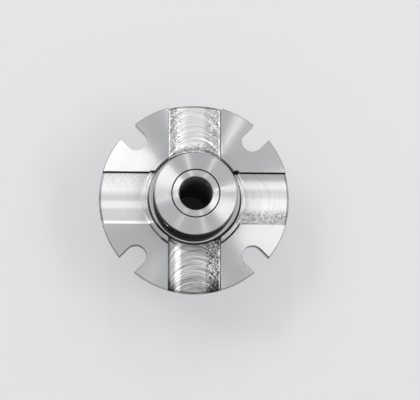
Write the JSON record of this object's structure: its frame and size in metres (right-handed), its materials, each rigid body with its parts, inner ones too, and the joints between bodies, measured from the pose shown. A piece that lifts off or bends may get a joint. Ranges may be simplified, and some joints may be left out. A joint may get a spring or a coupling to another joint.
{
  "type": "cartridge mechanical seal",
  "caption": "Cartridge shaft seal: a round gland plate with open stud slots and crossing channels, a drive collar on a shaft sleeve, and a sprung rotary face inside.",
  "frame": {"origin": "centre of the bounding box's bottom face, on the shaft axis at the sleeve's process end", "axes": "+Z along the shaft axis, outwards from the process side to the drive collar; the channels run along X and Y"},
  "size_m": [0.116, 0.116, 0.09],
  "materials": {
    "gland_steel": "turned and milled",
    "collar_steel": "turned",
    "sleeve_steel": "turned",
    "retainer_steel": "turned",
    "screw_steel": "plain",
    "pin_steel": "ground",
    "spring_steel": "drawn wire",
    "seat_ceramic": "lapped",
    "face_carbon": "lapped carbon",
    "bush_brass": "turned",
    "o_ring_rubber": "moulded"
  },
  "bodies": {
    "gland": {"gland_plate": "gland_steel", "gland_o_ring": "o_ring_rubber", "stationary_seat": "seat_ceramic", "seat_o_ring": "o_ring_rubber", "seat_pins": "pin_steel", "throttle_bush": "bush_brass"},
    "rotor": {"shaft_sleeve": "sleeve_steel", "shaft_o_ring": "o_ring_rubber", "drive_collar": "collar_steel", "collar_set_screws": "screw_steel", "spring_retainer": "retainer_steel", "retainer_screws": "screw_steel", "drive_pins": "pin_steel", "face_snap_ring": "pin_steel", "spring_1": "spring_steel", "spring_2": "spring_steel", "spring_3": "spring_steel", "spring_4": "spring_steel", "spring_5": "spring_steel", "spring_6": "spring_steel"},
    "floating_face": {"rotary_face": "face_carbon", "face_o_ring": "o_ring_rubber", "thrust_ring": "retainer_steel"}
  },
  "joints": [
    {"name": "shaft_turn", "type": "hinge", "parent": "gland", "child": "rotor", "pos_m": [0, 0, 0.045], "axis": [0, 0, 1], "continuous": true},
    {"name": "face_float", "type": "slide", "parent": "rotor", "child": "floating_face", "axis": [0, 0, 1], "range_m": [-0.0015, 0], "stiffness_N_per_m": 8000, "springref_m": 0.006, "deforming": ["spring_1", "spring_2", "spring_3", "spring_4", "spring_5", "spring_6"]}
  ]
}
